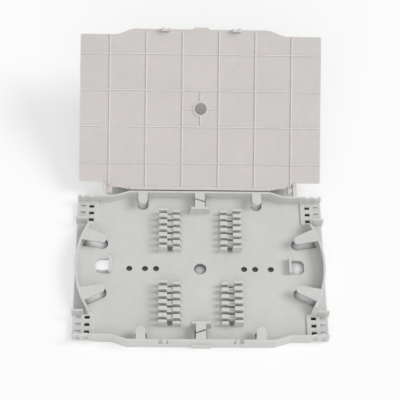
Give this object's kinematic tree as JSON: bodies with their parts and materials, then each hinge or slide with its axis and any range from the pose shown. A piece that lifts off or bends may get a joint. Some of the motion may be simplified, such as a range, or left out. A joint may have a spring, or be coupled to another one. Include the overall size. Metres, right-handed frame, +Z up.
{
  "type": "fibre splice tray",
  "caption": "Shallow plastic tray that holds optical fibre splices, with curved routing walls, splice combs, tie pads and a ribbed hinged cover, stored open.",
  "frame": {"origin": "on the axis of the tray's centre hole, level with the surface that the tray stands on", "axes": "+X to the right along the hinge, +Y towards the hinge, +Z up out of the tray along the centre hole"},
  "size_m": [0.1612, 0.203, 0.0653],
  "materials": {
    "tray": "fine matt, light grey ABS",
    "cover": "fine matt, light grey ABS"
  },
  "bodies": {
    "tray": {"tray": "tray"},
    "cover": {"cover": "cover"}
  },
  "joints": [
    {"name": "cover_hinge", "type": "hinge", "parent": "tray", "child": "cover", "pos_m": [0, 0.054, 0.0099], "axis": [1, 0, 0], "range_deg": [0, 150]}
  ]
}
